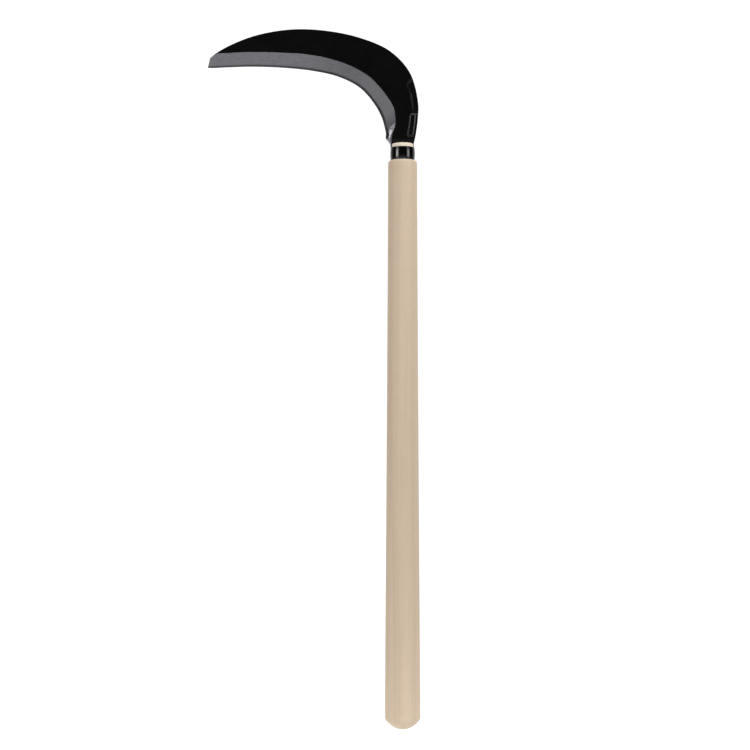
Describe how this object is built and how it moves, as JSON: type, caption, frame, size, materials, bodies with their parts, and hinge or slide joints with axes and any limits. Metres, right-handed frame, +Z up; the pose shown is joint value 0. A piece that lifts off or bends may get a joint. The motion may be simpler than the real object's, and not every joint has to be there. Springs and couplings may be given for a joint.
{
  "type": "hand scythe",
  "caption": "Hand scythe: a hooked, single-bevel steel blade with a black body, its tang pinned through a ferrule into a long straight turned wooden handle.",
  "frame": {"origin": "centre of the small flat on the butt end of the handle", "axes": "+Z up the handle's axis towards the blade, -X the way the blade hooks, -Y out of the ground (bevelled) face of the blade, +Y out of its flat back"},
  "size_m": [0.2127, 0.0356, 0.6989],
  "materials": {
    "blade_black": "satin black forge finish, bare ground steel on the bevel",
    "edge_steel": "honed, fine scratches along the edge",
    "handle_wood": "plain pale hardwood, sanded, no varnish",
    "ferrule_black": "gloss black",
    "pin_steel": "plain wire nail",
    "wedge_wood": "split, unfinished"
  },
  "bodies": {
    "root": {"blade_body": "blade_black", "edge_steel": "edge_steel", "handle": "handle_wood", "ferrule": "ferrule_black", "tang_pin": "pin_steel", "tang_wedge": "wedge_wood"}
  },
  "joints": []
}
